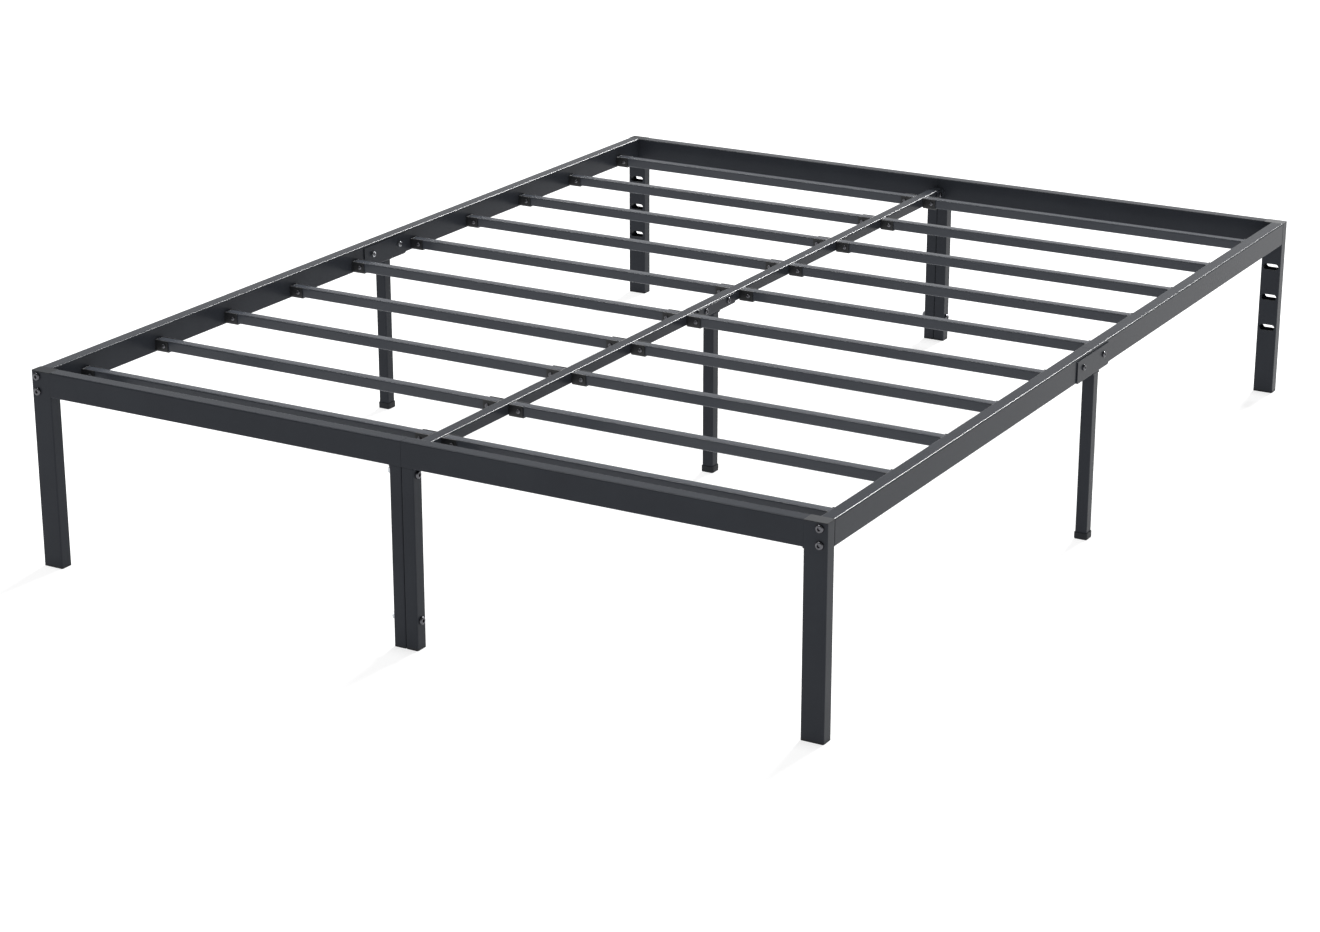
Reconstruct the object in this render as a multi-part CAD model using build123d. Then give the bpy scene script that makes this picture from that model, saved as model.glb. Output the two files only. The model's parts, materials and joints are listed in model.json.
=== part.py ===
from build123d import *
import os

# Slatted metal bed frame, built from rectangular steel tube. Millimetres.
# The origin is on the floor under the centre of the bed: +X to the right side, +Y to the head, +Z up.

# Overall sizes
bed_width = 1520.0            # across the outer faces of the side rails
bed_length = 2030.0           # across the outer faces of the foot and head frames
bed_height = 356.0            # floor to the top of the perimeter rails

# Perimeter tube, used for the rails and for the corner legs
rail_height = 44.5
rail_thick = 25.0
corner_leg_wide = 40.0        # along X; its depth along Y is rail_thick
tube_wall = 1.2
tube_corner = 2.5             # outer corner radius of every large tube

# Half legs, bolted side by side in the middle of each end
half_leg_wide = 23.0

# Centre rail and middle legs
centre_rail_wide = 23.0
centre_rail_height = 20.0
middle_leg_wide = 22.0        # square tube
side_leg_offset = 15.0        # the side legs stand this far towards the head
centre_leg_offset = 0.0

# Slats
deck_rise = 4.5               # undersides of the slats and centre rail above the end and side rails'
slat_side = 19.0              # square tube
slat_wall = 1.0
slat_corner = 2.5
slat_rows = 10
slat_end_inset = 85.5         # middle of the first and last slat from the end rails' inner faces

# Nylon sockets, open at the top, that hold the slat ends
socket_wall = 2.3
socket_length = 28.0
socket_back = 2.6
socket_corner = 4.0
socket_lip = 0.8              # radius on the upper outer edges
stud_radius = 4.5
stud_reach = 2.6              # beyond the inside of the rail's wall
screw_inset = 19.5            # from the rail's face to the slat screw
screw_radius = 2.0
screw_length = 9.0
screw_head_radius = 3.8
screw_head_height = 2.2

# Saddles that join the rail halves on the middle legs
saddle_plate = 2.0
saddle_to_socket = 17.5       # along the rails, from a saddle's end to the nearest slat sockets
saddle_round = 8.0            # lower corners of its cheeks
plate_bend = 3.0              # outer radius of the bends in saddles and hangers
side_saddle_below_top = 5.0   # the cheeks stop this far below the rail's top
centre_saddle_below_top = 2.0
side_bolt_spread = 90.0       # between the two bolts of a side saddle
side_bolt_drop = 21.0         # below the top of the bed
centre_bolt_spread = 85.0

# Hangers that carry the centre rail's outer ends
hanger_plate = 2.5
hanger_length = 32.0
hanger_bolt_inset = 18.0      # from the end rail's inner face

# Corner bolts, which clamp the side rails to the corner legs
corner_bolt_radius = 4.0
corner_bolt_drop = 10.0       # upper bolt below the top of the rail
corner_bolt_rise = 8.0        # lower bolt above the underside of the rail
corner_bolt_length = 38.0
corner_head_radius = 7.0
corner_head_height = 4.4
end_plate = 3.0               # welded inside the end of each side rail
weld_nut_radius = 6.5
weld_nut_height = 7.0

# Bolts that clamp the half legs together
half_leg_bolt_low = 50.0      # above the floor
half_leg_bolt_high_drop = 11.5    # below the underside of the end rail

# Bolts through saddles and hangers
joint_bolt_radius = 3.0
joint_head_radius = 5.5
joint_head_height = 3.3
joint_nut_flats = 10.0
joint_nut_height = 5.0
half_leg_nut_flats = 13.0
half_leg_nut_height = 6.5
bolt_past_nut = 2.0
socket_key_share = 0.4        # hex key pocket: half its width over the head's radius

# Headboard slots in the two head corner legs
slot_length = 32.0
slot_height = 12.0
slot_first_drop = 92.0
slot_pitch = 63.5
slot_count = 3

# Plastic caps
foot_flange = 4.0
foot_plug_depth = 14.0
top_cap_flange = 1.5
plug_to_bolt = 0.6            # the top cap's plug stops this far above the first bolt hole
shoe_wall = 1.5               # shoes on the middle legs
shoe_floor = 3.0
shoe_height = 12.0
shoe_corner = 4.0

# Clearances
hole_clearance = 0.4          # radial, bolt shank to a drilled hole
thread_clearance = 0.06       # radial, bolt shank to its nut
slip_fit = 0.2                # a side, between parts that slide together
weld_gap = 0.1                # a side, round a plate welded inside a tube
seam_gap = 0.2                # a side, between parts clamped face to face

# Worked out from the sizes above
half_width = bed_width / 2
half_length = bed_length / 2
rail_floor = bed_height - rail_height
deck_floor = rail_floor + deck_rise
leg_inner = half_width - corner_leg_wide
rail_inner = half_width - rail_thick
end_inner = half_length - rail_thick
rail_mid_x = half_width - rail_thick / 2
leg_mid_x = half_width - corner_leg_wide / 2
centre_half = centre_rail_wide / 2
centre_rail_top = deck_floor + centre_rail_height
slat_top = deck_floor + slat_side
slat_mid_z = deck_floor + slat_side / 2
slat_pitch = 2 * (end_inner - slat_end_inset) / (slat_rows - 1)
slat_ys = [(row - (slat_rows - 1) / 2) * slat_pitch for row in range(slat_rows)]
socket_half = slat_side / 2 + slip_fit + socket_wall
saddle_length = slat_pitch - 2 * (socket_half + saddle_to_socket)
corner_bolt_zs = [bed_height - corner_bolt_drop, rail_floor + corner_bolt_rise]
half_leg_bolt_zs = [half_leg_bolt_low, rail_floor - half_leg_bolt_high_drop]
slot_zs = [bed_height - slot_first_drop - i * slot_pitch for i in range(slot_count)]
side_joint_z = bed_height - side_bolt_drop
centre_joint_z = deck_floor + centre_rail_height / 2
hanger_bolt_y = end_inner - hanger_bolt_inset
side_saddle_outside = half_width + slip_fit + saddle_plate
side_leg_x = side_saddle_outside - middle_leg_wide / 2
top_plug_end = bed_height - corner_bolt_drop + corner_bolt_radius + hole_clearance + plug_to_bolt
foot_plug_end = foot_flange + foot_plug_depth
middle_legs = {
    "left_middle_leg": (-side_leg_x, side_leg_offset),
    "right_middle_leg": (side_leg_x, side_leg_offset),
    "centre_middle_leg": (0, centre_leg_offset),
}

X_AXIS, Y_AXIS, Z_AXIS = (1, 0, 0), (0, 1, 0), (0, 0, 1)
# Direction that a sketch's own x runs in, for each direction it is pushed out in
SKETCH_X = {X_AXIS: Y_AXIS, Y_AXIS: Z_AXIS, Z_AXIS: X_AXIS}
SIDES = (("left", -1), ("right", 1))
ENDS = (("foot", -1), ("head", 1))


def span(a, b):
    return min(a, b), max(a, b)


def section_plane(low, high, along):
    """Plane across the box from low to high, on its low end, and the box's three sizes from there."""
    centre = [(a + b) / 2 for a, b in zip(low, high)]
    axis = along.index(1)
    centre[axis] = low[axis]
    sizes = [b - a for a, b in zip(low, high)]
    across = SKETCH_X[along].index(1)
    other = 3 - axis - across
    plane = Plane(origin=centre, x_dir=SKETCH_X[along], z_dir=along)
    return plane, sizes[across], sizes[other], sizes[axis]


def block(low, high):
    """Plain box from low to high."""
    return Pos(*low) * Box(*(b - a for a, b in zip(low, high)), align=Align.MIN)


def bar(low, high, along, radius):
    """Solid bar that fills the box from low to high, its four long edges rounded."""
    plane, wide, tall, length = section_plane(low, high, along)
    return extrude(plane * RectangleRounded(wide, tall, radius), length)


def tube(low, high, along, wall=tube_wall, radius=tube_corner):
    """Rectangular tube that fills the box from low to high, open at both ends."""
    plane, wide, tall, length = section_plane(low, high, along)
    outer = RectangleRounded(wide, tall, radius)
    inner = RectangleRounded(wide - 2 * wall, tall - 2 * wall, radius - wall)
    return extrude(plane * (outer - inner), length)


def rod(start, along, radius, length):
    """Round bar from start, pointing along, also used to drill holes."""
    return extrude(Plane(origin=start, z_dir=along) * Circle(radius), length)


def group(solids):
    return Compound(children=list(solids))


def save(name, shape):
    shape.label = name
    export_step(shape, f"parts/{name}.step")


def button_bolt(place, outward, shank_radius, shank_length, head_radius, head_height):
    """Domed bolt with a hex key pocket. Its head's underside lies at place, its head points outward."""
    head = Cylinder(head_radius, head_height, align=(Align.CENTER, Align.CENTER, Align.MIN))
    head = fillet(head.edges().sort_by(Axis.Z)[-1], head_height * 0.7)
    pocket_depth = head_height * 0.6
    pocket = extrude(RegularPolygon(head_radius * socket_key_share, 6, major_radius=False), pocket_depth)
    head -= Pos(0, 0, head_height - pocket_depth) * pocket
    shank = Cylinder(shank_radius, shank_length, align=(Align.CENTER, Align.CENTER, Align.MAX))
    return Plane(origin=place, z_dir=outward) * (head + shank)


def hex_nut(place, outward, bolt_radius, flats, height):
    """Nut whose bearing face lies at place; it points outward."""
    blank = extrude(RegularPolygon(flats / 2, 6, major_radius=False), height)
    blank -= Cylinder(bolt_radius + thread_clearance, 3 * height)
    return Plane(origin=place, z_dir=outward) * blank


# ---- Foot and head frames: corner leg, end rail and half leg, welded together ----

def corner_leg(side, end):
    """Upright tube with two bolt holes through it and, at the head, the headboard slots."""
    x0, x1 = span(side * leg_inner, side * half_width)
    y0, y1 = span(end * end_inner, end * half_length)
    leg = tube((x0, y0, foot_flange), (x1, y1, bed_height - top_cap_flange), Z_AXIS)
    for z in corner_bolt_zs:
        leg -= rod((side * rail_mid_x, y0, z), Y_AXIS, corner_bolt_radius + hole_clearance, rail_thick)
    if end > 0:
        for z in slot_zs:
            plane = Plane(origin=(side * leg_mid_x, y0, z), x_dir=X_AXIS, z_dir=Y_AXIS)
            leg -= extrude(plane * SlotOverall(slot_length, slot_height), rail_thick)
    return leg


def end_rail(side, end):
    """Half of the cross rail, from the corner leg to the seam in the middle."""
    x0, x1 = span(side * seam_gap, side * leg_inner)
    y0, y1 = span(end * end_inner, end * half_length)
    return tube((x0, y0, rail_floor), (x1, y1, bed_height), X_AXIS)


def half_leg(side, end):
    """One of the two legs bolted together under the middle of the end rail."""
    x0, x1 = span(side * seam_gap, side * half_leg_wide)
    y0, y1 = span(end * end_inner, end * half_length)
    leg = tube((x0, y0, foot_flange), (x1, y1, rail_floor), Z_AXIS)
    for z in half_leg_bolt_zs:
        mid_y = (y0 + y1) / 2
        leg -= rod((x0, mid_y, z), X_AXIS, corner_bolt_radius + hole_clearance, half_leg_wide)
    return leg


# ---- Side rails and centre rail ----

def side_rail(side, end):
    """Half of a side rail, with stud holes for the slat sockets and one bolt hole for the saddle."""
    x0, x1 = span(side * rail_inner, side * half_width)
    y0, y1 = span(end * seam_gap, end * end_inner)
    rail = tube((x0, y0, rail_floor), (x1, y1, bed_height), Y_AXIS)
    drill = stud_radius + slip_fit
    for y in (y for y in slat_ys if y * end > 0):
        rail -= rod((side * (rail_inner - 1), y, slat_mid_z), (side, 0, 0), drill, 1 + 2 * tube_wall)
    bolt_y = end * side_bolt_spread / 2
    rail -= rod((x0, bolt_y, side_joint_z), X_AXIS, joint_bolt_radius + hole_clearance, rail_thick)
    return rail


def centre_rail(end):
    """Half of the centre rail, drilled for the slat sockets on both sides and for two bolts."""
    y0, y1 = span(end * seam_gap, end * (end_inner - hanger_plate - slip_fit))
    rail = tube((-centre_half, y0, deck_floor), (centre_half, y1, centre_rail_top), Y_AXIS)
    for y in (y for y in slat_ys if y * end > 0):
        rail -= rod((-centre_half, y, slat_mid_z), X_AXIS, stud_radius + slip_fit, centre_rail_wide)
    for y in (end * centre_bolt_spread / 2, end * hanger_bolt_y):
        drill = joint_bolt_radius + hole_clearance
        rail -= rod((-centre_half, y, centre_joint_z), X_AXIS, drill, centre_rail_wide)
    return rail


def side_rail_end_plate(side, end):
    """Plate welded inside the end of a side rail, with a weld nut behind each corner bolt."""
    edge = tube_wall + weld_gap
    x0, x1 = span(side * (rail_inner + edge), side * (half_width - edge))
    y0, y1 = span(end * (end_inner - end_plate), end * end_inner)
    plate = bar((x0, y0, rail_floor + edge), (x1, y1, bed_height - edge), Y_AXIS, tube_corner - tube_wall)
    bore = corner_bolt_radius + thread_clearance
    for z in corner_bolt_zs:
        at = (side * rail_mid_x, end * end_inner, z)
        plate += rod(at, (0, -end, 0), weld_nut_radius, end_plate + weld_nut_height)
    for z in corner_bolt_zs:
        at = (side * rail_mid_x, end * end_inner, z)
        plate -= rod(at, (0, -end, 0), bore, end_plate + weld_nut_height)
    return plate


# ---- Middle legs, saddles and hangers ----

def channel(half_inside, plate, floor_z, cheek_top, y0, y1):
    """Folded U channel along Y, open upwards, whose inner floor is at floor_z."""
    outside = half_inside + plate
    folded = block((-outside, y0, floor_z - plate), (outside, y1, cheek_top))
    folded = fillet(folded.edges().filter_by(Axis.Y).group_by(Axis.Z)[0], plate_bend)
    hollow_top = 2 * cheek_top - floor_z
    hollow = bar((-half_inside, y0, floor_z), (half_inside, y1, hollow_top), Y_AXIS, plate_bend - plate)
    return folded - hollow


def saddle(mid_x, rail_wide, floor_z, cheek_top, bolt_z, bolt_spread):
    """Channel that holds both rail halves, with rounded lower corners and two bolt holes."""
    half = saddle_length / 2
    shape = channel(rail_wide / 2 + slip_fit, saddle_plate, floor_z, cheek_top, -half, half)
    bottom = floor_z - saddle_plate
    reach = rail_wide / 2 + slip_fit + saddle_plate
    side_view = Plane(origin=(-reach, 0, (bottom + cheek_top) / 2), x_dir=Y_AXIS, z_dir=X_AXIS)
    outline = Rectangle(saddle_length, cheek_top - bottom)
    outline = fillet(outline.vertices().group_by(Axis.Y)[0], saddle_round)
    shape &= extrude(side_view * outline, 2 * reach)
    for y in (-bolt_spread / 2, bolt_spread / 2):
        shape -= rod((-reach, y, bolt_z), X_AXIS, joint_bolt_radius + hole_clearance, 2 * reach)
    return Pos(mid_x, 0, 0) * shape


def side_saddle(side):
    cheek_top = bed_height - side_saddle_below_top
    return saddle(side * rail_mid_x, rail_thick, rail_floor, cheek_top, side_joint_z, side_bolt_spread)


def centre_saddle():
    cheek_top = centre_rail_top - centre_saddle_below_top
    return saddle(0, centre_rail_wide, deck_floor, cheek_top, centre_joint_z, centre_bolt_spread)


def middle_leg(x, y):
    """Square tube welded under its saddle; a side one's outer face is flush with the saddle's cheek."""
    half = middle_leg_wide / 2
    carried = rail_floor if x else deck_floor
    low = (x - half, y - half, shoe_floor)
    return tube(low, (x + half, y + half, carried - saddle_plate), Z_AXIS)


def hanger(end):
    """Short channel with a back plate, welded to the end rail; the centre rail rests in it."""
    cheek_top = centre_rail_top - centre_saddle_below_top
    inside = centre_half + slip_fit
    y0, y1 = span(end * (end_inner - hanger_length), end * end_inner)
    shape = channel(inside, hanger_plate, deck_floor, cheek_top, y0, y1)
    p0, p1 = span(end * (end_inner - hanger_plate), end * end_inner)
    lap = hanger_plate / 2
    shape += block((-inside - lap, p0, deck_floor - lap), (inside + lap, p1, cheek_top))
    drill = joint_bolt_radius + hole_clearance
    reach = inside + hanger_plate
    return shape - rod((-reach, end * hanger_bolt_y, centre_joint_z), X_AXIS, drill, 2 * reach)


# ---- Slats and their sockets ----

def slat(side, y):
    """Square tube with a screw hole near each end, in its front wall."""
    x0, x1 = span(side * (centre_half + socket_back), side * (rail_inner - socket_back))
    half = slat_side / 2
    low = (x0, y - half, slat_top - slat_side)
    piece = tube(low, (x1, y + half, slat_top), X_AXIS, slat_wall, slat_corner)
    for x in (centre_half + screw_inset, rail_inner - screw_inset):
        hole = screw_radius + thread_clearance
        piece -= rod((side * x, y - half, slat_mid_z), Y_AXIS, hole, slat_side / 2)
    return piece


def slat_socket(face_x, inward, rail_wall, y):
    """Moulded cradle on a rail's face at face_x. It opens inward and upward; a stud snaps into the rail."""
    pocket_half = socket_half - socket_wall
    x0, x1 = span(face_x, face_x + inward * socket_length)
    body = block((x0, y - socket_half, slat_mid_z - socket_half), (x1, y + socket_half, slat_top))
    body = fillet(body.edges().filter_by(Axis.X).group_by(Axis.Z)[0], socket_corner)
    body = fillet(body.edges().filter_by(Axis.X).group_by(Axis.Z)[-1], socket_lip)
    p0, p1 = span(face_x + inward * socket_back, face_x + inward * socket_length)
    pocket_low = (p0, y - pocket_half, slat_mid_z - pocket_half)
    body -= bar(pocket_low, (p1, y + pocket_half, slat_top + slat_side), X_AXIS, slat_corner - slip_fit)
    body += rod((face_x, y, slat_mid_z), (-inward, 0, 0), stud_radius, rail_wall + stud_reach)
    screw_x = face_x + inward * screw_inset
    body -= rod((screw_x, y - socket_half, slat_mid_z), Y_AXIS, screw_radius + slip_fit, socket_half)
    return body


def slat_screw(x, y):
    """Pan-head screw through the socket's front wall into the slat."""
    face_y = y - socket_half
    head = Cylinder(screw_head_radius, screw_head_height, align=(Align.CENTER, Align.CENTER, Align.MIN))
    head = fillet(head.edges().sort_by(Axis.Z)[-1], screw_head_height * 0.7)
    shank = Cylinder(screw_radius, screw_length, align=(Align.CENTER, Align.CENTER, Align.MAX))
    return Plane(origin=(x, face_y, slat_mid_z), z_dir=(0, -1, 0)) * (head + shank)


# ---- Plastic caps ----

def plug_cap(x0, x1, y0, y1, face_z, flange_z, plug_z):
    """Cap with a flange from face_z to flange_z, and a plug inside the tube that ends at plug_z."""
    f0, f1 = span(face_z, flange_z)
    p0, p1 = span(flange_z, plug_z)
    edge = tube_wall + slip_fit
    flange = bar((x0, y0, f0), (x1, y1, f1), Z_AXIS, tube_corner)
    plug = bar((x0 + edge, y0 + edge, p0), (x1 - edge, y1 - edge, p1), Z_AXIS, tube_corner - tube_wall)
    return flange + plug


def corner_leg_caps(face_z, flange_z, plug_z):
    for _, side in SIDES:
        for _, end in ENDS:
            x0, x1 = span(side * leg_inner, side * half_width)
            y0, y1 = span(end * end_inner, end * half_length)
            yield plug_cap(x0, x1, y0, y1, face_z, flange_z, plug_z)


def half_leg_feet():
    for _, side in SIDES:
        for _, end in ENDS:
            x0, x1 = span(side * seam_gap, side * half_leg_wide)
            y0, y1 = span(end * end_inner, end * half_length)
            yield plug_cap(x0, x1, y0, y1, 0, foot_flange, foot_plug_end)


def middle_leg_shoe(x, y):
    """Moulded shoe pushed over the bottom of a middle leg."""
    inside = middle_leg_wide / 2 + slip_fit
    outside = inside + shoe_wall
    shoe = bar((x - outside, y - outside, 0), (x + outside, y + outside, shoe_height), Z_AXIS, shoe_corner)
    cup_low = (x - inside, y - inside, shoe_floor)
    shoe -= bar(cup_low, (x + inside, y + inside, shoe_height), Z_AXIS, tube_corner)
    return fillet(shoe.faces().sort_by(Axis.Z)[0].edges(), shoe_wall)


# ---- Fasteners ----

def corner_bolts():
    for _, side in SIDES:
        for _, end in ENDS:
            for z in corner_bolt_zs:
                at = (side * rail_mid_x, end * half_length, z)
                yield button_bolt(at, (0, end, 0), corner_bolt_radius, corner_bolt_length,
                                  corner_head_radius, corner_head_height)


def half_leg_bolts():
    """Bolts that run across both half legs, heads to the right and nuts to the left."""
    length = 2 * half_leg_wide + half_leg_nut_height + bolt_past_nut
    bolts, nuts = [], []
    for _, end in ENDS:
        mid_y = end * (half_length - rail_thick / 2)
        for z in half_leg_bolt_zs:
            bolts.append(button_bolt((half_leg_wide, mid_y, z), X_AXIS, corner_bolt_radius, length,
                                     corner_head_radius, corner_head_height))
            nuts.append(hex_nut((-half_leg_wide, mid_y, z), (-1, 0, 0), corner_bolt_radius,
                                half_leg_nut_flats, half_leg_nut_height))
    return bolts, nuts


def joint_bolts():
    """Bolts through the side saddles, heads outside, and through the centre saddle and hangers."""
    bolts, nuts = [], []

    def clamp(mid_x, y, z, grip, out):
        length = 2 * grip + joint_nut_height + bolt_past_nut
        bolts.append(button_bolt((mid_x + out * grip, y, z), (out, 0, 0), joint_bolt_radius, length,
                                 joint_head_radius, joint_head_height))
        nuts.append(hex_nut((mid_x - out * grip, y, z), (-out, 0, 0), joint_bolt_radius,
                            joint_nut_flats, joint_nut_height))

    for _, end in ENDS:
        for _, side in SIDES:
            grip = rail_thick / 2 + slip_fit + saddle_plate
            clamp(side * rail_mid_x, end * side_bolt_spread / 2, side_joint_z, grip, side)
        grip = centre_half + slip_fit + saddle_plate
        clamp(0, end * centre_bolt_spread / 2, centre_joint_z, grip, 1)
        clamp(0, end * hanger_bolt_y, centre_joint_z, centre_half + slip_fit + hanger_plate, 1)
    return bolts, nuts


# ---- Write every sub-part ----

os.makedirs("parts", exist_ok=True)

for end_name, end in ENDS:
    for side_name, side in SIDES:
        save(f"{end_name}_{side_name}_corner_leg", corner_leg(side, end))
        save(f"{end_name}_{side_name}_end_rail", end_rail(side, end))
        save(f"{end_name}_{side_name}_half_leg", half_leg(side, end))
        save(f"{side_name}_side_rail_{end_name}_half", side_rail(side, end))
    save(f"centre_rail_{end_name}_half", centre_rail(end))
    save(f"{end_name}_rail_hanger", hanger(end))

for side_name, side in SIDES:
    save(f"{side_name}_saddle", side_saddle(side))
save("centre_saddle", centre_saddle())

for leg_name, (leg_x, leg_y) in middle_legs.items():
    save(leg_name, middle_leg(leg_x, leg_y))

for side_name, side in SIDES:
    for row, y in enumerate(slat_ys, 1):
        save(f"{side_name}_slat_{row:02d}", slat(side, y))

faces = {"side": (rail_inner, -1), "centre": (centre_half, 1)}
for place, (face, inward) in faces.items():
    sockets = [slat_socket(s * face, s * inward, tube_wall, y) for _, s in SIDES for y in slat_ys]
    save(f"{place}_slat_sockets", group(sockets))

screw_xs = (centre_half + screw_inset, rail_inner - screw_inset)
save("slat_screws", group(slat_screw(s * x, y) for _, s in SIDES for x in screw_xs for y in slat_ys))

top_flange_z = bed_height - top_cap_flange
save("corner_leg_feet", group(corner_leg_caps(0, foot_flange, foot_plug_end)))
save("corner_leg_top_caps", group(corner_leg_caps(bed_height, top_flange_z, top_plug_end)))
save("half_leg_feet", group(half_leg_feet()))
save("middle_leg_shoes", group(middle_leg_shoe(x, y) for x, y in middle_legs.values()))
save("side_rail_end_plates", group(side_rail_end_plate(s, e) for _, s in SIDES for _, e in ENDS))

leg_bolts, leg_nuts = half_leg_bolts()
rail_bolts, rail_nuts = joint_bolts()
save("corner_bolts", group(corner_bolts()))
save("half_leg_bolts", group(leg_bolts))
save("half_leg_nuts", group(leg_nuts))
save("rail_joint_bolts", group(rail_bolts))
save("rail_joint_nuts", group(rail_nuts))
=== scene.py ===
import bpy
import json
import math
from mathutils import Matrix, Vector

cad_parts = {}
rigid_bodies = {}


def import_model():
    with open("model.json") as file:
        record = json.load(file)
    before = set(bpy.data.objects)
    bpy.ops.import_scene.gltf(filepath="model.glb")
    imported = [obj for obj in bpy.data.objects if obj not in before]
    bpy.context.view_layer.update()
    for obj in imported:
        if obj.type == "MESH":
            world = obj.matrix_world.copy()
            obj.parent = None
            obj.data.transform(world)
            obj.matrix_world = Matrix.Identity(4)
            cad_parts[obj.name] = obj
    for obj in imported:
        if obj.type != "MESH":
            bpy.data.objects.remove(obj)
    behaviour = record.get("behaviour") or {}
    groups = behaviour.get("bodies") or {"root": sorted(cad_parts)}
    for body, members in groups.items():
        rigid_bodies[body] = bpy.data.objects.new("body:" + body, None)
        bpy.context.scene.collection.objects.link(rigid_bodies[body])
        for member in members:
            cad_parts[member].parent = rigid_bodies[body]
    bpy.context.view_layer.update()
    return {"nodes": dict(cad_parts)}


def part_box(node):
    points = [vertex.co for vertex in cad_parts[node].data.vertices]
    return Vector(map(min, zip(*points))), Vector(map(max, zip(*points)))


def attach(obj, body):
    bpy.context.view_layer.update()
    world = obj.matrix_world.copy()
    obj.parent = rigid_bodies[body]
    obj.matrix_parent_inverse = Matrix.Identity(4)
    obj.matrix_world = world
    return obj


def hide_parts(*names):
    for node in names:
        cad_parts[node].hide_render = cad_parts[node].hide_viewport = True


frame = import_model()


# ---- Studio ---------------------------------------------------------------------------------------
# A pale acrylic floor, lit from below so that shadows stay faint, under a white sky that darkens
# overhead. Two broad soft lights, behind the bed and over its left side, draw the lines along
# its edges. The camera is a long lens, a little above the bed and to its right, aimed at the head.
def linear(srgb_hex):
    """Linear colour, with alpha, of an sRGB hex value."""
    shares = [int(srgb_hex[i:i + 2], 16) / 255 for i in (1, 3, 5)]
    return tuple(s / 12.92 if s <= 0.04045 else ((s + 0.055) / 1.055) ** 2.4 for s in shares) + (1.0,)


def add_node(tree, kind, settings=None, inputs=None, links=None):
    """Adds a node, sets its properties and input values, and links other nodes' outputs to its inputs."""
    node = tree.nodes.new(kind)
    for name, value in (settings or {}).items():
        setattr(node, name, value)
    for name, value in (inputs or {}).items():
        node.inputs[name].default_value = value
    for name, output in (links or {}).items():
        tree.links.new(output, node.inputs[name])
    return node


def new_material(name):
    """Node material with nothing but its output; gives the material, its tree and the output."""
    material = bpy.data.materials.new(name)
    material.use_nodes = True
    material.node_tree.nodes.clear()
    return material, material.node_tree, add_node(material.node_tree, "ShaderNodeOutputMaterial")


def in_scene(name, data):
    """Puts data in the scene as an object at the origin."""
    made = bpy.data.objects.new(name, data)
    bpy.context.scene.collection.objects.link(made)
    return made


floor_reach = 14.0
acrylic, tree, output = new_material("frosted_acrylic")
matt = add_node(tree, "ShaderNodeBsdfPrincipled",
                inputs={"Base Color": linear("#a8a8a8"), "Roughness": 0.9,
                        "Emission Color": linear("#ffffff"), "Emission Strength": 0.70})
tree.links.new(matt.outputs["BSDF"], output.inputs["Surface"])
floor_mesh = bpy.data.meshes.new("studio_floor")
corners = [(-floor_reach, -floor_reach, 0), (floor_reach, -floor_reach, 0),
           (floor_reach, floor_reach, 0), (-floor_reach, floor_reach, 0)]
floor_mesh.from_pydata(corners, [], [(0, 1, 2, 3)])
floor_mesh.materials.append(acrylic)
in_scene("studio_floor", floor_mesh)

sky_low, sky_high = 0.20, 0.42       # heights, as sines of the elevation, between which the sky darkens
horizon_grey, zenith_grey = 1.0, 0.22

world = bpy.data.worlds.new("studio_sky")
world.use_nodes = True
tree = world.node_tree
where = add_node(tree, "ShaderNodeTexCoord")
split = add_node(tree, "ShaderNodeSeparateXYZ", links={"Vector": where.outputs["Generated"]})
fade = add_node(tree, "ShaderNodeMapRange", settings={"interpolation_type": "SMOOTHSTEP"},
                inputs={"From Min": sky_low, "From Max": sky_high, "To Min": horizon_grey,
                        "To Max": zenith_grey}, links={"Value": split.outputs["Z"]})
tree.links.new(fade.outputs["Result"], tree.nodes["Background"].inputs["Strength"])
tree.nodes["Background"].inputs["Color"].default_value = linear("#ffffff")
bpy.context.scene.world = world
bpy.context.scene.view_settings.view_transform = "Standard"


def soft_sun(name, towards, strength, angle_deg):
    """Broad distant light that lies in the direction towards, as wide across as angle_deg."""
    light = bpy.data.lights.new(name, "SUN")
    light.energy, light.angle = strength, math.radians(angle_deg)
    in_scene(name, light).rotation_euler = Vector(towards).to_track_quat("Z", "Y").to_euler()


soft_sun("rear_softbox", (-0.02, 0.82, 0.57), strength=6.2, angle_deg=15)
soft_sun("left_softbox", (-0.47, 0.02, 0.88), strength=1.3, angle_deg=9)

camera_azimuth, camera_elevation = math.radians(29.95), math.radians(19.14)
camera_distance = 6.056
camera_aim = Vector((-0.187, 0.135, -0.064))
lens = bpy.data.cameras.new("studio_camera")
lens.sensor_width = 36.0
lens.lens = 84.08
camera = in_scene("studio_camera", lens)
back = Vector((math.sin(camera_azimuth) * math.cos(camera_elevation),
               -math.cos(camera_azimuth) * math.cos(camera_elevation), math.sin(camera_elevation)))
camera.location = camera_aim + back * camera_distance
camera.rotation_euler = back.to_track_quat("Z", "Y").to_euler()
bpy.context.scene.camera = camera

# ---- Tubes, saddles and hangers -------------------------------------------------------------------
# Rolled steel tube and folded plate, sprayed with one coat of satin charcoal-black powder and baked.
# The melted powder leaves a faint orange peel and slight changes of gloss where the film is thicker.
mm = 0.001
peel_size = 2.6 * mm        # the real ripple is 1 to 2 mm; drawn a little coarser so that it shows
peel_depth = 0.006 * mm
film_patch = 70 * mm        # length over which the film's thickness drifts
coat_colour, coat_thin_colour = "#2a2c31", "#303338"


def peel(tree, place, size, depth, strength=1.0):
    """Bump of rounded ripples, size across and depth deep; gives the normal."""
    ripple = add_node(tree, "ShaderNodeTexNoise", inputs={"Scale": 1 / size, "Detail": 1.5, "Roughness": 0.45},
                      links={"Vector": place})
    bump = add_node(tree, "ShaderNodeBump", inputs={"Strength": strength, "Distance": depth},
                    links={"Height": ripple.outputs["Fac"]})
    return bump.outputs["Normal"]


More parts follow.
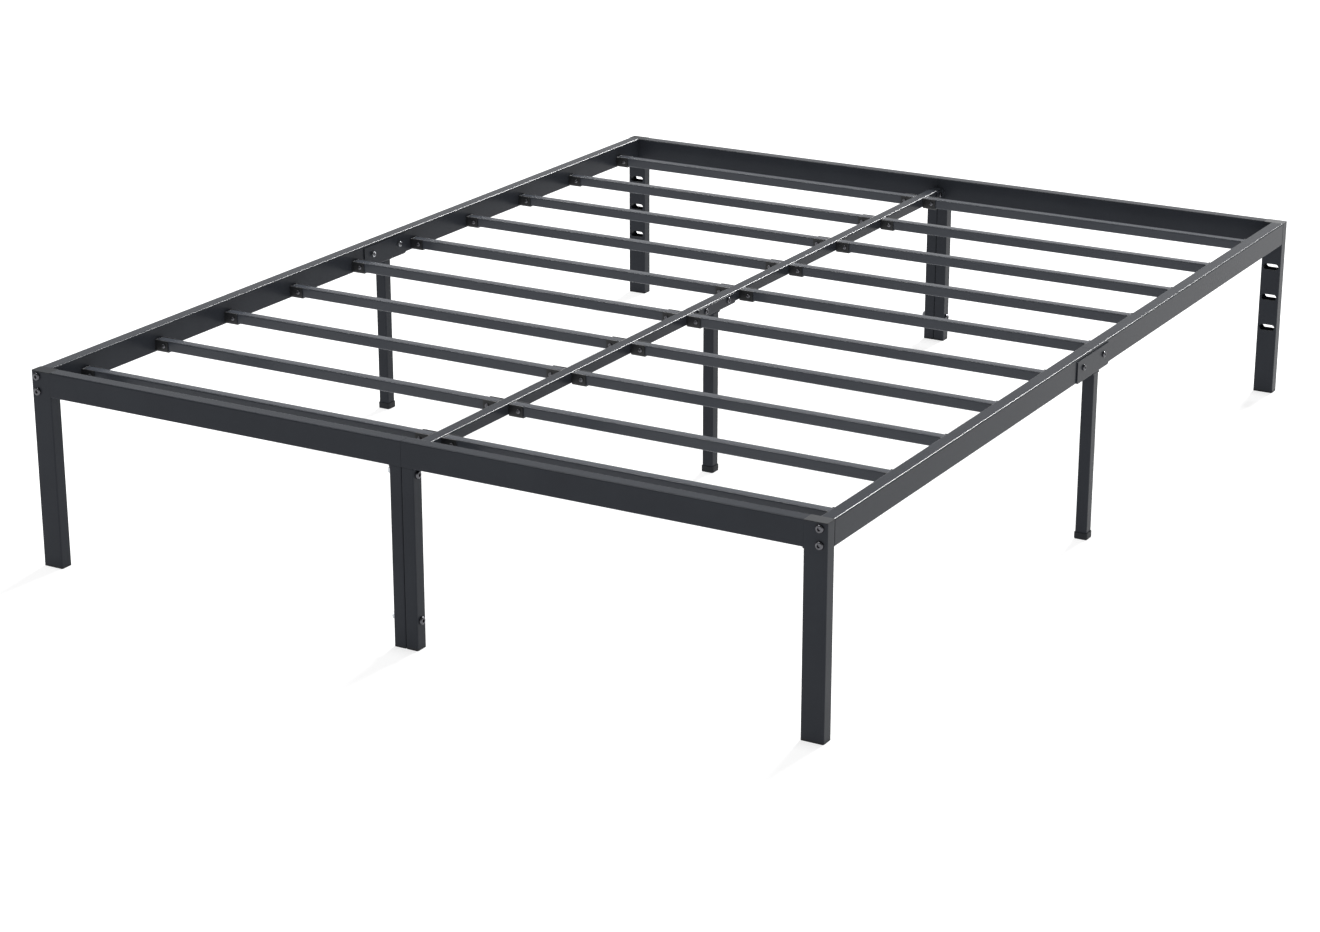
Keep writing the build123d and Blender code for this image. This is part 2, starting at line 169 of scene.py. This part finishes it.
def powder(name, colour, thin_colour, shine):
    """Powder coat whose tint and gloss drift with the thickness of its film."""
    material, tree, output = new_material(name)
    place = add_node(tree, "ShaderNodeTexCoord").outputs["Object"]
    film = add_node(tree, "ShaderNodeTexNoise", inputs={"Scale": 1 / film_patch, "Detail": 3.0},
                    links={"Vector": place})
    tint = add_node(tree, "ShaderNodeMix", settings={"data_type": "RGBA"},
                    links={"Factor": film.outputs["Fac"]})
    tint.inputs[6].default_value, tint.inputs[7].default_value = linear(colour), linear(thin_colour)
    gloss = add_node(tree, "ShaderNodeMapRange", inputs={"To Min": 0.21, "To Max": 0.28},
                     links={"Value": film.outputs["Fac"]})
    coat = add_node(tree, "ShaderNodeBsdfPrincipled", inputs={"Specular IOR Level": shine},
                    links={"Base Color": tint.outputs[2], "Roughness": gloss.outputs["Result"],
                           "Normal": peel(tree, place, peel_size, peel_depth)})
    tree.links.new(coat.outputs["BSDF"], output.inputs["Surface"])
    return material


powder_coat = powder("satin_powder_coat", coat_colour, coat_thin_colour, shine=0.07)


def finish_nodes(material, *endings):
    """Gives the material to every CAD node whose name ends in one of endings."""
    for name, node in frame["nodes"].items():
        if name.endswith(endings):
            node.data.materials[0] = material


finish_nodes(powder_coat, "corner_leg", "end_rail", "half_leg", "foot_half", "head_half",
             "saddle", "hanger", "middle_leg", "end_plates")

# ---- Welds ----------------------------------------------------------------------------------------
# The legs are MIG welded to the rails, saddles and hangers before coating. On the outer faces the weld
# is ground flush, so no joint shows; on the inner faces and underneath the bead keeps its ripples.
def calc(tree, operation, *terms):
    """Output of a maths node; each term is another node's output or a number."""
    node = add_node(tree, "ShaderNodeMath", settings={"operation": operation})
    for socket, term in zip(node.inputs, terms):
        if isinstance(term, (int, float)):
            socket.default_value = term
        else:
            tree.links.new(term, socket)
    return node.outputs["Value"]


def new_group(name, sockets):
    """Geometry node group that takes a mesh and the named inputs in sockets; gives it and its inputs."""
    tree = bpy.data.node_groups.new(name, "GeometryNodeTree")
    tree.interface.new_socket(name="Geometry", in_out="INPUT", socket_type="NodeSocketGeometry")
    for socket_name, kind in sockets.items():
        tree.interface.new_socket(name=socket_name, in_out="INPUT", socket_type="NodeSocket" + kind)
    tree.interface.new_socket(name="Geometry", in_out="OUTPUT", socket_type="NodeSocketGeometry")
    return tree, tree.nodes.new("NodeGroupInput").outputs


def end_group(tree, geometry, finish):
    """Ends a group: real geometry, smooth between faces under 35 degrees apart, with its material."""
    real = add_node(tree, "GeometryNodeRealizeInstances", links={"Geometry": geometry})
    angle = add_node(tree, "GeometryNodeInputMeshEdgeAngle")
    sharp = add_node(tree, "FunctionNodeCompare", inputs={"B": math.radians(35)},
                     links={"A": angle.outputs["Unsigned Angle"]})
    smooth = add_node(tree, "GeometryNodeSetShadeSmooth", links={"Geometry": real.outputs["Geometry"]})
    creased = add_node(tree, "GeometryNodeStoreNamedAttribute",
                       settings={"data_type": "BOOLEAN", "domain": "EDGE"},
                       inputs={"Name": "sharp_edge"},
                       links={"Geometry": smooth.outputs["Geometry"], "Value": sharp.outputs["Result"]})
    painted = add_node(tree, "GeometryNodeSetMaterial",
                       links={"Geometry": creased.outputs["Geometry"], "Material": finish})
    ends = add_node(tree, "NodeGroupOutput")
    tree.links.new(painted.outputs["Geometry"], ends.inputs["Geometry"])


def grown(name, seed_mesh, tree, values):
    """Runs a node group on seed_mesh and gives the result as an object with a plain mesh."""
    carrier = in_scene(name + "_carrier", seed_mesh)
    modifier = carrier.modifiers.new("nodes", "NODES")
    modifier.node_group = tree
    for socket in tree.interface.items_tree:
        if socket.in_out == "INPUT" and socket.name in values:
            modifier[socket.identifier] = values[socket.name]
    carrier.modifiers.new("flat_faces", "WEIGHTED_NORMAL").keep_sharp = True
    bpy.context.view_layer.update()
    mesh = bpy.data.meshes.new_from_object(carrier.evaluated_get(bpy.context.evaluated_depsgraph_get()))
    bpy.data.objects.remove(carrier)
    for i in reversed(range(len(mesh.materials))):
        if mesh.materials[i] is None:
            mesh.materials.pop(index=i)
    mesh.name = name
    return in_scene(name, mesh)


def on_frame(piece, slot, *nodes):
    """The piece rides on the frame and stands for these CAD nodes, which are hidden; slot is not used."""
    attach(piece, "root")
    if nodes:
        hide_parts(*nodes)


bead_step = 0.7 * mm            # between the rings of a bead
bead_sides = 10
ripple_pitch = 1.7 * mm
fill_radius = 3.0 * mm          # the weld that fills the groove at a tube's rounded corner
fill_past = 0.9 * mm            # from the joint to the middle of that weld
fill_short = 1.5 * mm           # it stops this far short of the tube's edges
corner_radius = 1.8 * mm        # the weld in an inside corner
corner_stand = 0.6 * mm         # from both faces to the middle of that weld

tree, given = new_group("weld_bead", {"Radius": "Float", "Ripple Pitch": "Float", "Ripple Depth": "Float",
                                      "Seed": "Int", "Finish": "Material"})
path = add_node(tree, "GeometryNodeMeshToCurve", links={"Mesh": given["Geometry"]})
stepped = add_node(tree, "GeometryNodeResampleCurve", settings={"mode": "LENGTH"}, inputs={"Length": bead_step},
                   links={"Curve": path.outputs["Curve"]})
along = add_node(tree, "GeometryNodeSplineParameter").outputs["Length"]
wave = calc(tree, "SINE", calc(tree, "MULTIPLY", calc(tree, "DIVIDE", along, given["Ripple Pitch"]), math.tau))
chance = add_node(tree, "FunctionNodeRandomValue", links={"Seed": given["Seed"]}).outputs[1]
uneven = calc(tree, "ADD", wave, calc(tree, "SUBTRACT", chance, 0.5))
swell = calc(tree, "ADD", calc(tree, "MULTIPLY", uneven, given["Ripple Depth"]), 1.0)
round_bead = add_node(tree, "GeometryNodeCurvePrimitiveCircle", inputs={"Resolution": bead_sides},
                      links={"Radius": given["Radius"]})
bead = add_node(tree, "GeometryNodeCurveToMesh", inputs={"Fill Caps": True},
                links={"Curve": stepped.outputs["Curve"], "Profile Curve": round_bead.outputs["Curve"],
                       "Scale": swell})
end_group(tree, bead.outputs["Mesh"], given["Finish"])


def paths(name, lines):
    """Mesh of open lines, each given by its points."""
    mesh = bpy.data.meshes.new(name)
    starts = [sum(len(line) for line in lines[:i]) for i in range(len(lines))]
    edges = [(start + i, start + i + 1) for start, line in zip(starts, lines) for i in range(len(line) - 1)]
    mesh.from_pydata([point for line in lines for point in line], edges, [])
    return mesh


def near_far(box, axis):
    """The box's two sides across an axis, the one nearer the middle of the bed first."""
    return sorted((box[0][axis], box[1][axis]), key=abs)


ends, sides = ("foot", "head"), ("left", "right")
flush_lines, ripple_lines, corner_lines = [], [], []
for end in ends:
    for side in sides:
        leg, rail, half_leg = (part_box(f"{end}_{side}_{part}") for part in ("corner_leg", "end_rail", "half_leg"))
        out_x = math.copysign(1, near_far(leg, 0)[0])
        y_in, y_out = near_far(rail, 1)
        out_y = math.copysign(1, y_out)
        under, top = rail[0].z, rail[1].z
        leg_x, half_leg_x = near_far(leg, 0)[0], near_far(half_leg, 0)
        for lines, y in ((flush_lines, y_out - out_y * fill_radius), (ripple_lines, y_in + out_y * fill_radius)):
            x = leg_x + out_x * fill_past
            lines.append([(x, y, under + fill_short), (x, y, top - fill_short)])
            z = under + fill_past
            lines.append([(half_leg_x[0] + out_x * fill_short, y, z), (half_leg_x[1] - out_x * fill_short, y, z)])
        for x in (leg_x - out_x * corner_stand, half_leg_x[1] + out_x * corner_stand):
            z = under - corner_stand
            corner_lines.append([(x, y_in + out_y * corner_radius, z), (x, y_out - out_y * corner_radius, z)])
    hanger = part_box(f"{end}_rail_hanger")
    for x in (hanger[0].x - corner_stand, hanger[1].x + corner_stand):
        y = near_far(hanger, 1)[1] - out_y * corner_stand
        corner_lines.append([(x, y, hanger[0].z + corner_radius), (x, y, hanger[1].z - corner_radius)])
for name in ("left", "centre", "right"):
    low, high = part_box(f"{name}_middle_leg")
    x_in, x_out = near_far((low, high), 0) if name != "centre" else (low.x, high.x)
    out_x = math.copysign(1, x_out)
    x_in, z = x_in - out_x * corner_stand, high.z - corner_stand
    low_y, high_y = low.y - corner_stand, high.y + corner_stand
    ring = [(x_out, low_y, z), (x_in, low_y, z), (x_in, high_y, z), (x_out, high_y, z)]
    corner_lines.append(ring if name != "centre" else ring + ring[:1])
    if name != "centre":
        x, z = x_out - out_x * fill_radius, high.z + fill_past
        flush_lines.append([(x, low.y + fill_short, z), (x, high.y - fill_short, z)])

bead_values = {"Ripple Pitch": ripple_pitch, "Finish": powder_coat}
flush_welds = grown("flush_welds", paths("flush_paths", flush_lines), tree,
                    {**bead_values, "Radius": fill_radius, "Ripple Depth": 0.0, "Seed": 3})
inner_welds = grown("inner_welds", paths("inner_paths", ripple_lines), tree,
                    {**bead_values, "Radius": fill_radius, "Ripple Depth": 0.04, "Seed": 5})
corner_welds = grown("corner_welds", paths("corner_paths", corner_lines), tree,
                     {**bead_values, "Radius": corner_radius, "Ripple Depth": 0.14, "Seed": 7})
for piece in (flush_welds, inner_welds, corner_welds):
    on_frame(piece, "frame_powder_coat")

# ---- Slats ----------------------------------------------------------------------------------------
# Two rows of square tube, roll-formed and powder coated like the frame. Each slat is cut to length,
# pushed into a nylon socket at either end and held there by one screw.
slat_wall, slat_corner, slat_corner_steps = 1.0 * mm, 2.5 * mm, 5
# The slats carry the frame's powder coat, drawn lighter and glossier here: painted light for the brighter reflection
# that the slats' fronts catch.
slat_coat_painted_lighter = powder("satin_powder_coat_slats_painted_lighter", "#383b41", "#3e4147", shine=0.2)


def points(name, spots):
    """Mesh of loose points, each with its kind and the turn that brings +Z to its outward direction."""
    mesh = bpy.data.meshes.new(name)
    mesh.from_pydata([place for place, _, _ in spots], [], [])
    mesh.attributes.new("turn", "FLOAT_VECTOR", "POINT")
    mesh.attributes.new("kind", "INT", "POINT")
    for i, (_, outward, kind) in enumerate(spots):
        mesh.attributes["turn"].data[i].vector = Vector(outward).to_track_quat("Z", "Y").to_euler()
        mesh.attributes["kind"].data[i].value = kind
    return mesh


def stored(tree, name, kind):
    """Output that reads a named attribute."""
    return add_node(tree, "GeometryNodeInputNamedAttribute", settings={"data_type": kind},
                    inputs={"Name": name}).outputs["Attribute"]


def stored_turn(tree):
    """Rotation stored on the points."""
    return add_node(tree, "FunctionNodeEulerToRotation", links={"Euler": stored(tree, "turn", "FLOAT_VECTOR")})


tree, given = new_group("slat_tube", {"Length": "Float", "Side": "Float", "Wall": "Float", "Corner": "Float",
                                      "Corner Steps": "Int", "Finish": "Material"})


def rounded_square(side, radius):
    """Closed curve of a square with rounded corners."""
    square = add_node(tree, "GeometryNodeCurvePrimitiveQuadrilateral", links={"Width": side, "Height": side})
    return add_node(tree, "GeometryNodeFilletCurve", settings={"mode": "POLY"},
                    links={"Curve": square.outputs["Curve"], "Radius": radius,
                           "Count": given["Corner Steps"]}).outputs["Curve"]


def joined(*parts):
    """Output that puts several geometries together."""
    join = tree.nodes.new("GeometryNodeJoinGeometry")
    for part in parts:
        tree.links.new(part, join.inputs[0])
    return join.outputs["Geometry"]


hollow = calc(tree, "SUBTRACT", given["Side"], calc(tree, "MULTIPLY", given["Wall"], 2.0))
inner_corner = calc(tree, "SUBTRACT", given["Corner"], given["Wall"])
outlines = joined(rounded_square(given["Side"], given["Corner"]), rounded_square(hollow, inner_corner))
cut_end = add_node(tree, "GeometryNodeFillCurve", links={"Curve": outlines}).outputs["Mesh"]
drawn = add_node(tree, "GeometryNodeExtrudeMesh", inputs={"Individual": False},
                 links={"Mesh": cut_end, "Offset Scale": given["Length"]}).outputs["Mesh"]
far_end = add_node(tree, "GeometryNodeFlipFaces", links={"Mesh": cut_end}).outputs["Mesh"]
closed = add_node(tree, "GeometryNodeMergeByDistance", inputs={"Distance": 0.01 * mm},
                  links={"Geometry": joined(drawn, far_end)}).outputs["Geometry"]
rows = add_node(tree, "GeometryNodeInstanceOnPoints",
                links={"Points": given["Geometry"], "Instance": closed,
                       "Rotation": stored_turn(tree).outputs["Rotation"]})
end_group(tree, rows.outputs["Instances"], given["Finish"])

slat_nodes = sorted(name for name in frame["nodes"] if name[:-2].endswith("_slat_"))
slat_boxes = [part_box(name) for name in slat_nodes]
slat_size = slat_boxes[0][1] - slat_boxes[0][0]
slats = grown("slats", points("slat_spots", [((low.x, (low.y + high.y) / 2, (low.z + high.z) / 2), (1, 0, 0), 0)
                                             for low, high in slat_boxes]), tree,
              {"Length": slat_size.x, "Side": slat_size.y, "Wall": slat_wall, "Corner": slat_corner,
               "Corner Steps": slat_corner_steps, "Finish": slat_coat_painted_lighter})
on_frame(slats, "slat_powder_coat", *slat_nodes)

# ---- Slat sockets ---------------------------------------------------------------------------------
# Cradles of black nylon, open at the top, that snap into the rails with a stud at the back and take
# the slats' ends. Injection moulded, with the fine grain that the spark-eroded mould leaves.
socket_length, socket_back, socket_half = 28 * mm, 2.6 * mm, 12 * mm
pocket_half, pocket_corner, socket_corner = 9.7 * mm, 2.3 * mm, 4 * mm
socket_edge = 0.5 * mm
stud_radius, stud_reach, stud_lap = 4.5 * mm, 3.8 * mm, 1.0 * mm
turn_steps = 24                 # sides of everything round
mould_grain = 0.8 * mm          # the real grain is 0.1 mm; drawn coarser so that it shows

tree, given = new_group("set_out", {"Patterns": "Collection", "Spin": "Float", "Seed": "Int",
                                    "Finish": "Material"})
patterns = add_node(tree, "GeometryNodeCollectionInfo", inputs={"Separate Children": True, "Reset Children": True},
                    links={"Collection": given["Patterns"]})
chance = add_node(tree, "FunctionNodeRandomValue", links={3: given["Spin"], "Seed": given["Seed"]}).outputs[1]
roll = add_node(tree, "FunctionNodeAxisAngleToRotation", inputs={"Axis": (0, 0, 1)}, links={"Angle": chance})
turned_way = add_node(tree, "FunctionNodeRotateRotation", settings={"rotation_space": "LOCAL"},
                      links={"Rotation": stored_turn(tree).outputs["Rotation"],
                             "Rotate By": roll.outputs["Rotation"]})
placed = add_node(tree, "GeometryNodeInstanceOnPoints", inputs={"Pick Instance": True},
                  links={"Points": given["Geometry"], "Instance": patterns.outputs["Instances"],
                         "Instance Index": stored(tree, "kind", "INT"),
                         "Rotation": turned_way.outputs["Rotation"]})
end_group(tree, placed.outputs["Instances"], given["Finish"])
set_out = tree


def laid_out(name, pattern_meshes, spots, finish, spin=0.0, seed=0, edge=0.0):
    """Copies of the patterns, one on each spot by its kind, each turned by a random share of spin."""
    kinds = bpy.data.collections.new(name + "_patterns")
    for i, mesh in enumerate(pattern_meshes):
        pattern = bpy.data.objects.new(f"{name}_pattern_{i}", mesh)
        kinds.objects.link(pattern)
        if edge:
            rounding = pattern.modifiers.new("edges", "BEVEL")
            rounding.width, rounding.segments, rounding.angle_limit = edge, 2, math.radians(50)
    piece = grown(name, points(name + "_spots", spots), set_out,
                  {"Patterns": kinds, "Spin": spin, "Seed": seed, "Finish": finish})
    for pattern in list(kinds.objects):
        bpy.data.objects.remove(pattern)
    bpy.data.collections.remove(kinds)
    return piece


def ring_points(height, circle, flats=None, arm=None):
    """One level of a turned shape: a circle, cut down to a hexagon or to a cross where asked."""
    for step in range(turn_steps):
        angle = math.tau * step / turn_steps
        reach = circle
        if flats:
            reach = min(reach, flats / math.cos((angle + math.pi / 6) % (math.pi / 3) - math.pi / 6))
        off_arm = math.sin(abs((angle + math.pi / 4) % (math.pi / 2) - math.pi / 4))
        if arm and off_arm * reach > arm:
            reach = arm / off_arm
        yield reach * math.cos(angle), reach * math.sin(angle), height


def turned(rings, loop=False):
    """Vertices and faces of a shape built up from rings, closed at both ends or round on itself."""
    verts = [point for ring in rings for point in ring_points(*ring)]
    count = len(rings)
    faces = [] if loop else [range(turn_steps - 1, -1, -1), range((count - 1) * turn_steps, count * turn_steps)]
    for level in range(count if loop else count - 1):
        here, above = level * turn_steps, (level + 1) % count * turn_steps
        for i in range(turn_steps):
            j = (i + 1) % turn_steps
            faces.append((here + i, here + j, above + j, above + i))
    return verts, [tuple(face) for face in faces]


def pattern_mesh(name, *shapes):
    """Mesh of one or more closed shapes, each given by its vertices and faces."""
    all_verts, all_faces = [], []
    for verts, faces in shapes:
        all_faces += [tuple(len(all_verts) + i for i in face) for face in faces]
        all_verts += verts
    mesh = bpy.data.meshes.new(name)
    mesh.from_pydata(all_verts, [], all_faces)
    return mesh


def cradle_outline(half, corner, top):
    """Points of a U seen from its mouth, from its upper left, round the bottom, to its upper right."""
    bends = [(math.pi + math.pi / 2 * i / 5, -1) for i in range(6)]
    bends += [(math.pi * 1.5 + math.pi / 2 * i / 5, 1) for i in range(6)]
    bottom = [(way * (half - corner) + corner * math.cos(a), corner - half + corner * math.sin(a))
              for a, way in bends]
    return [(-half, top)] + bottom + [(half, top)]


def cradle(top):
    """Open-topped socket: its back at z = 0, its mouth at z = socket_length, its open top towards +Y."""
    outer, inner = cradle_outline(socket_half, socket_corner, top), cradle_outline(pocket_half, pocket_corner, top)
    n = len(outer)
    verts = [(x, y, z) for outline, z in ((outer, 0), (outer, socket_length), (inner, socket_length),
                                          (inner, socket_back)) for x, y in outline]
    back, mouth, lip, floor = (list(range(i * n, i * n + n)) for i in range(4))
    faces = [back[::-1], floor, mouth + lip[::-1]]
    faces.append([mouth[0], lip[0], floor[0], floor[-1], lip[-1], mouth[-1], back[-1], back[0]])
    for i in range(n - 1):
        faces.append([back[i], back[i + 1], mouth[i + 1], mouth[i]])
        faces.append([lip[i], lip[i + 1], floor[i + 1], floor[i]])
    return verts, faces


nylon, tree, output = new_material("moulded_black_nylon")
place = add_node(tree, "ShaderNodeTexCoord").outputs["Object"]
plastic = add_node(tree, "ShaderNodeBsdfPrincipled", inputs={"Base Color": linear("#1c1d1f"), "Roughness": 0.45,
                                                             "Specular IOR Level": 0.3},
                   links={"Normal": peel(tree, place, mould_grain, 0.02 * mm, 0.6)})
tree.links.new(plastic.outputs["BSDF"], output.inputs["Surface"])

side_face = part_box("right_side_rail_foot_half")[0].x
centre_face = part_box("centre_rail_foot_half")[1].x
slat_middles = [((low.y + high.y) / 2, (low.z + high.z) / 2, math.copysign(1, low.x)) for low, high in slat_boxes]
stud = turned([(-stud_reach, stud_radius - socket_edge), (socket_edge - stud_reach, stud_radius),
               (stud_lap, stud_radius)])
socket_mesh = pattern_mesh("slat_socket", cradle(slat_size.z / 2), stud)
for node, face, way in (("side_slat_sockets", side_face, -1), ("centre_slat_sockets", centre_face, 1)):
    spots = [((hand * face, y, z), (hand * way, 0, 0), 0) for y, z, hand in slat_middles]
    on_frame(laid_out(node.replace("slat_", "nylon_"), [socket_mesh], spots, nylon, edge=socket_edge),
             "nylon_socket", node)

# ---- Slat screws ----------------------------------------------------------------------------------
# Pan-head self-tapping screws with a cross recess, one through the near wall of each socket into the
# slat. Cold-headed steel with a thin black zinc coat that has rubbed a little on the heads.
screw_inset = 19.5 * mm
screw_radius, screw_length, screw_head, screw_head_tall = 2.0 * mm, 9.0 * mm, 3.8 * mm, 2.2 * mm
recess_reach, recess_arm, recess_deep = 2.1 * mm, 0.45 * mm, 1.3 * mm


def dome(radius, height, flat_share, steps):
    """Rings of a domed head, from its rim to its flat top, which is flat_share of its radius."""
    rise = [math.pi / 2 * i / steps for i in range(steps + 1)]
    return [(height * (0.25 + 0.75 * math.sin(a)), radius * (flat_share + (1 - flat_share) * math.cos(a)))
            for a in rise]


def metal(name, colour, bright_colour, gloss_low, gloss_high, patch):
    """Plated steel whose tint and gloss drift over patches that are patch across."""
    material, tree, output = new_material(name)
    place = add_node(tree, "ShaderNodeTexCoord").outputs["Object"]
    drift = add_node(tree, "ShaderNodeTexNoise", inputs={"Scale": 1 / patch, "Detail": 2.0}, links={"Vector": place})
    tint = add_node(tree, "ShaderNodeMix", settings={"data_type": "RGBA"}, links={"Factor": drift.outputs["Fac"]})
    tint.inputs[6].default_value, tint.inputs[7].default_value = linear(colour), linear(bright_colour)
    gloss = add_node(tree, "ShaderNodeMapRange", inputs={"To Min": gloss_low, "To Max": gloss_high},
                     links={"Value": drift.outputs["Fac"]})
    steel = add_node(tree, "ShaderNodeBsdfPrincipled", inputs={"Metallic": 1.0},
                     links={"Base Color": tint.outputs[2], "Roughness": gloss.outputs["Result"]})
    tree.links.new(steel.outputs["BSDF"], output.inputs["Surface"])
    return material


black_zinc = metal("black_zinc_steel", "#515155", "#77777c", 0.24, 0.38, 3 * mm)
screw_mesh = pattern_mesh("slat_screw", turned(
    [(-screw_length, 0.3 * mm), (-screw_length + 2 * screw_radius, screw_radius), (0, screw_radius), (0, screw_head)]
    + dome(screw_head, screw_head_tall, 0.6, 4)
    + [(screw_head_tall, recess_reach, None, recess_arm),
       (screw_head_tall - recess_deep, recess_reach / 2, None, recess_arm / 2)]))
spots = [((hand * x, y - socket_half, z), (0, -1, 0), 0) for y, z, hand in slat_middles
         for x in (side_face - screw_inset, centre_face + screw_inset)]
on_frame(laid_out("pan_screws", [screw_mesh], spots, black_zinc, spin=math.tau, seed=11), "slat_screw",
         "slat_screws")

# ---- Bolts ----------------------------------------------------------------------------------------
# Domed socket-head bolts: two at each corner, two across each pair of half legs, and two through each
# saddle and one through each hanger. Cold-forged steel, heat treated and chemically blackened.
black_oxide = metal("black_oxide_steel", "#48484c", "#67676b", 0.20, 0.30, 5 * mm)
thread_depth, thread_run = 0.45 * mm, 9 * mm


def bolt_mesh(name, radius, length, head, head_tall, pitch):
    """Domed bolt pointing along +Z: head above z = 0, shank below, its last threads as fine rings."""
    key = 0.4 * head
    rings = [(-length, radius - 2 * thread_depth), (-length + thread_depth, radius - thread_depth)]
    for i in range(int(thread_run / pitch)):
        z = thread_depth - length + pitch * i
        rings += [(z + pitch / 2, radius), (z + pitch, radius - thread_depth)]
    rings += [(rings[-1][0] + pitch / 2, radius), (0, radius), (0, head - thread_depth / 2)]
    rings += dome(head, head_tall, 0.62, 5)
    rings += [(head_tall, 1.25 * key), (head_tall - 0.1 * key, 1.16 * key, key), (0.4 * head_tall, 1.16 * key, key)]
    return pattern_mesh(name, turned(rings))


corner_head, joint_head = 7.0 * mm, 5.5 * mm
bolts_low, bolts_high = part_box("corner_bolts")
corner_spots = []
for side in sides:
    low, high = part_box(f"{side}_side_rail_foot_half")
    for end in ends:
        y = near_far(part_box(f"{end}_{side}_end_rail"), 1)[1]
        for z in (bolts_low.z + corner_head, bolts_high.z - corner_head):
            corner_spots.append((((low.x + high.x) / 2, y, z), (0, y, 0), 0))
corner_mesh = bolt_mesh("corner_bolt", 4.0 * mm, 38 * mm, corner_head, 4.4 * mm, 1.25 * mm)
on_frame(laid_out("corner_button_bolts", [corner_mesh], corner_spots, black_oxide, spin=math.tau, seed=21),
         "black_bolt", "corner_bolts")

bolts_low, bolts_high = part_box("half_leg_bolts")
half_leg_spots, half_nut_spots = [], []
for end in ends:
    low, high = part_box(f"{end}_right_half_leg")
    for z in (bolts_low.z + corner_head, bolts_high.z - corner_head):
        half_leg_spots.append(((high.x, (low.y + high.y) / 2, z), (1, 0, 0), 0))
        half_nut_spots.append(((-high.x, (low.y + high.y) / 2, z), (-1, 0, 0), 0))
half_leg_mesh = bolt_mesh("half_leg_bolt", 4.0 * mm, 54.5 * mm, corner_head, 4.4 * mm, 1.25 * mm)
on_frame(laid_out("half_leg_button_bolts", [half_leg_mesh], half_leg_spots, black_oxide, spin=math.tau, seed=22),
         "black_bolt", "half_leg_bolts")

side_spread, side_drop, centre_spread, hanger_inset = 90 * mm, 21 * mm, 85 * mm, 18 * mm
side_grip, centre_grip, hanger_grip = 14.7 * mm, 13.7 * mm, 14.2 * mm
nut_and_tip = 7 * mm
rail_low, rail_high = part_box("right_side_rail_foot_half")
centre_low, centre_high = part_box("centre_rail_foot_half")
side_x, side_z = (rail_low.x + rail_high.x) / 2, rail_high.z - side_drop
centre_z = (centre_low.z + centre_high.z) / 2
hanger_y = near_far(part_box("head_rail_hanger"), 1)[1] - hanger_inset
joints = []
for way in (-1, 1):
    joints += [(hand * side_x, way * side_spread / 2, side_z, hand, side_grip, 0) for hand in (-1, 1)]
    joints += [(0, way * centre_spread / 2, centre_z, 1, centre_grip, 1), (0, way * hanger_y, centre_z, 1, hanger_grip, 2)]
joint_meshes = [bolt_mesh(f"joint_bolt_{i}", 3.0 * mm, 2 * grip + nut_and_tip, joint_head, 3.3 * mm, 1.0 * mm)
                for i, grip in enumerate((side_grip, centre_grip, hanger_grip))]
spots = [((x + hand * grip, y, z), (hand, 0, 0), kind) for x, y, z, hand, grip, kind in joints]
on_frame(laid_out("joint_button_bolts", joint_meshes, spots, black_oxide, spin=math.tau, seed=23), "black_bolt",
         "rail_joint_bolts")

# ---- Nuts -----------------------------------------------------------------------------------------
# Plain hexagon nuts on the half legs' and the saddles' bolts. Cold-formed steel with bright zinc
# plating, corners chamfered on both faces.
zinc = metal("zinc_plated_steel", "#a9acb1", "#c3c6ca", 0.22, 0.36, 2.5 * mm)
nut_chamfer = 0.5 * mm


def nut_mesh(name, bore, flats, height):
    """Hexagon nut from z = 0 to z = height."""
    corner, half = 1.16 * flats / 2, flats / 2
    return pattern_mesh(name, turned([
        (0, half), (nut_chamfer, corner, half), (height - nut_chamfer, corner, half), (height, half),
        (height, bore + nut_chamfer), (height - nut_chamfer, bore), (nut_chamfer, bore), (0, bore + nut_chamfer)],
        loop=True))


half_nut_mesh = nut_mesh("half_leg_nut", 4.06 * mm, 13 * mm, 6.5 * mm)
on_frame(laid_out("half_leg_hex_nuts", [half_nut_mesh], half_nut_spots, zinc, spin=math.tau, seed=31), "zinc_nut",
         "half_leg_nuts")
joint_nut_mesh = nut_mesh("joint_nut", 3.06 * mm, 10 * mm, 5 * mm)
spots = [((x - hand * grip, y, z), (-hand, 0, 0), 0) for x, y, z, hand, grip, _ in joints]
on_frame(laid_out("joint_hex_nuts", [joint_nut_mesh], spots, zinc, spin=math.tau, seed=32), "zinc_nut",
         "rail_joint_nuts")

# ---- Caps, feet and shoes -------------------------------------------------------------------------
# Plugs of black polyethylene in the tops and feet of the corner and half legs, and shoes over the
# bottoms of the middle legs. Injection moulded, softer and duller than the coated steel.
polyethylene, tree, output = new_material("black_polyethylene")
place = add_node(tree, "ShaderNodeTexCoord").outputs["Object"]
plastic = add_node(tree, "ShaderNodeBsdfPrincipled", inputs={"Base Color": linear("#25272a"), "Roughness": 0.50,
                                                             "Specular IOR Level": 0.12},
                   links={"Normal": peel(tree, place, mould_grain, 0.02 * mm, 0.5)})
tree.links.new(plastic.outputs["BSDF"], output.inputs["Surface"])
finish_nodes(polyethylene, "corner_leg_feet", "top_caps", "half_leg_feet", "shoes")
